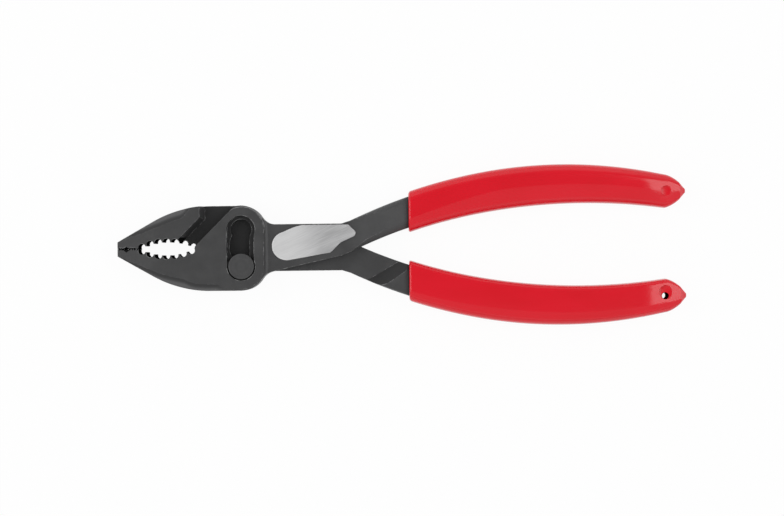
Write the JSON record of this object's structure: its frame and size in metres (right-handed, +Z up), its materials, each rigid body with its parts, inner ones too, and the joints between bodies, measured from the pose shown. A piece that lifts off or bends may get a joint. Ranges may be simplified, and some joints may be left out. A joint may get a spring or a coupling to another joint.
{
  "type": "slip joint pliers",
  "caption": "Slip joint pliers: lapped forged halves on a flatted rivet that shifts along a slot, curved toothed mouth behind a serrated nose, bowed handles with dipped grips.",
  "frame": {"origin": "on the rivet's axis, in the plane that the tool lies on, with the jaws closed and the rivet in its near seat", "axes": "+X from the jaws to the handles, +Z up from the face that the tool lies on, +Y towards the handle of the front half"},
  "size_m": [0.204, 0.0578, 0.0104],
  "materials": {
    "forged_steel": "black phosphate over forged and broached steel, satin, with a bright ground panel on the neck",
    "rivet_steel": "turned steel, satin, blackened with the rest",
    "dipped_vinyl": "dipped vinyl, smooth and glossy"
  },
  "bodies": {
    "front_lever": {"front_half": "forged_steel", "upper_grip": "dipped_vinyl"},
    "pivot": {"pivot_rivet": "rivet_steel"},
    "back_lever": {"back_half": "forged_steel", "lower_grip": "dipped_vinyl"}
  },
  "joints": [
    {"name": "slip", "type": "hinge", "parent": "front_lever", "child": "pivot", "pos_m": [0.06969, 0.0066, 0.0052], "axis": [0, 0, -1], "range_deg": [0, 10.82]},
    {"name": "jaw_open", "type": "hinge", "parent": "pivot", "child": "back_lever", "pos_m": [0, 0, 0.0052], "axis": [0, 0, -1], "range_deg": [0, 32]}
  ]
}
